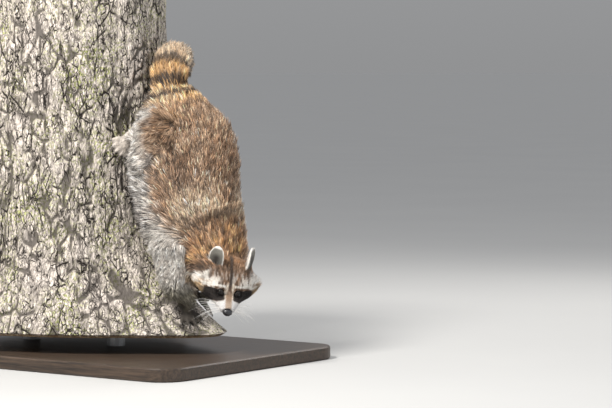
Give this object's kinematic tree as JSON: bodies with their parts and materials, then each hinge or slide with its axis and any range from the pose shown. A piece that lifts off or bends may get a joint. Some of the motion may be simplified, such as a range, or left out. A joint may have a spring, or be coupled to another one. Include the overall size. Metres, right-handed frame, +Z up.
{
  "type": "raccoon",
  "caption": "Life-size raccoon climbing head first down a cut length of tree trunk, with a ringed tail and masked face, on a flat display stand.",
  "frame": {"origin": "centre of the underside of the stand's base", "axes": "+Z up along the trunk, +X from the trunk's axis towards the raccoon's back, +Y towards the raccoon's left"},
  "size_m": [0.83, 0.64, 0.8586],
  "materials": {
    "face_coat": "short dense fur, grizzled with a dark mask and white bands",
    "body_coat": "long grizzled grey-brown fur, silver at the flanks",
    "tail_coat": "bushy golden-tan fur with dark rings",
    "ear_coat": "short fur, grey with a white rim",
    "leg_coat": "pale grey-buff fur",
    "paw_skin": "dark bare skin and horn claws",
    "eye_gloss": "wet gloss, opaque dark brown",
    "nose_leather": "moist black leather",
    "bark": "deeply furrowed grey bark with pale lichen",
    "base_board": "dark stained board, satin",
    "rod_steel": "brushed"
  },
  "bodies": {
    "root": {"head": "face_coat", "neck": "body_coat", "torso": "body_coat", "tail_base": "tail_coat", "tail_middle": "tail_coat", "tail_tip": "tail_coat", "ear_left": "ear_coat", "ear_right": "ear_coat", "eye_left": "eye_gloss", "eye_right": "eye_gloss", "nose": "nose_leather", "foreleg_left": "leg_coat", "foreleg_right": "leg_coat", "hindleg_left": "leg_coat", "hindleg_right": "leg_coat", "forepaw_left": "paw_skin", "forepaw_right": "paw_skin", "hindfoot_left": "paw_skin", "hindfoot_right": "paw_skin", "perch_log": "bark", "stand_base": "base_board", "stand_rod_back": "rod_steel", "stand_rod_front": "rod_steel"}
  },
  "joints": []
}
